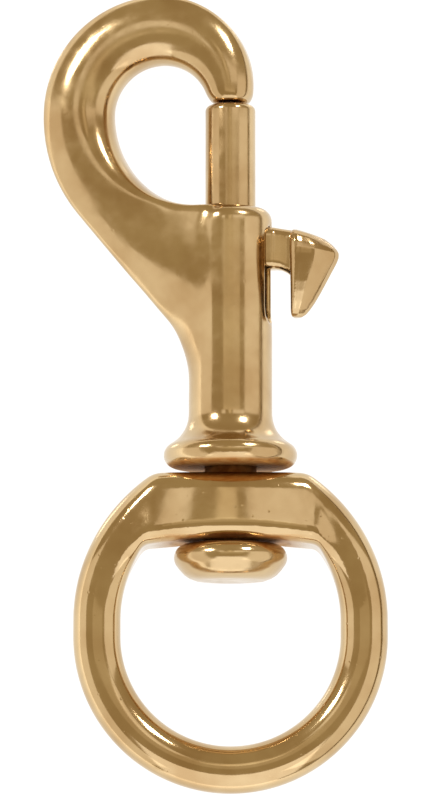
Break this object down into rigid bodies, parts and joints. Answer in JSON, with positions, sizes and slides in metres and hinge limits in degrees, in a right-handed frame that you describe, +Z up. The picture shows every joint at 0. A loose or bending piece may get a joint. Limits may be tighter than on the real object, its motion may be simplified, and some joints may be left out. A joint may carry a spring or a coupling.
{
  "type": "swivel snap hook",
  "caption": "Cast brass bolt snap: a curved hook on a tubular barrel, closed by a sprung bolt with a thumb lever, turning on a round swivel eye.",
  "frame": {"origin": "centre of the round part of the swivel eye, in its middle plane", "axes": "+Y along the barrel from the eye to the hook, +X towards the thumb lever, +Z up off the table the part lies on"},
  "size_m": [0.0343, 0.0801, 0.0132],
  "materials": {
    "cast_brass": "cast and tumble polished",
    "turned_brass": "turned and polished",
    "spring_steel": "plain spring wire"
  },
  "bodies": {
    "snap": {"snap_body": "cast_brass", "swivel_pin": "turned_brass", "return_spring": "spring_steel"},
    "bolt": {"bolt": "turned_brass", "thumb_lever": "cast_brass"},
    "eye": {"swivel_eye": "cast_brass"}
  },
  "joints": [
    {"name": "bolt_slide", "type": "slide", "parent": "snap", "child": "bolt", "axis": [0, -1, 0], "range_m": [0, 0.0052], "stiffness_N_per_m": 400, "springref_m": -0.012, "deforming": ["return_spring"]},
    {"name": "eye_swivel", "type": "hinge", "parent": "snap", "child": "eye", "pos_m": [0, 0, 0], "axis": [0, 1, 0], "continuous": true}
  ]
}
